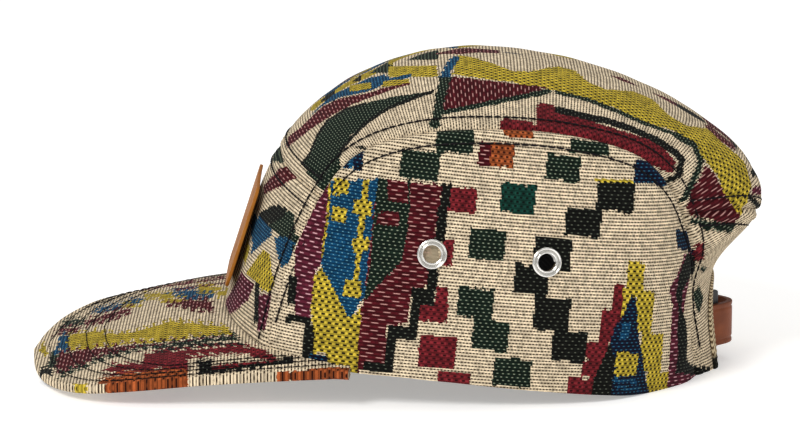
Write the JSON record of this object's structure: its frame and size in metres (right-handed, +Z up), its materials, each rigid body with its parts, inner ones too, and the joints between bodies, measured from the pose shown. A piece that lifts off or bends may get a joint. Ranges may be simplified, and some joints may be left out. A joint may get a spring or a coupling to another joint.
{
  "type": "five-panel cap",
  "caption": "Soft cap with a flat front panel, a long panel over the top, side panels with vent eyelets, a stiff brim and a leather strap across the back opening.",
  "frame": {"origin": "middle of the cap's box, on the surface that it rests on", "axes": "the brim points to -X, the wearer's left side faces -Y, +Z up"},
  "size_m": [0.2672, 0.157, 0.1153],
  "materials": {
    "jacquard_cloth": "woven pattern in beige, maroon, green, yellow, blue and black",
    "binding_cloth": "woven",
    "sweatband_twill": "matte twill",
    "mustard_leather": "satin",
    "brown_leather": "satin",
    "polished_steel": "polished",
    "black_plastic": "matte"
  },
  "bodies": {
    "root": {"back_panel": "jacquard_cloth", "back_strap": "brown_leather", "brim": "jacquard_cloth", "eyelet_left_1": "polished_steel", "eyelet_left_2": "polished_steel", "eyelet_right_1": "polished_steel", "eyelet_right_2": "polished_steel", "front_panel": "jacquard_cloth", "front_patch": "mustard_leather", "opening_binding": "binding_cloth", "side_panel_left": "jacquard_cloth", "side_panel_right": "jacquard_cloth", "strap_clasp": "black_plastic", "sweatband": "sweatband_twill", "top_panel": "jacquard_cloth"}
  },
  "joints": []
}
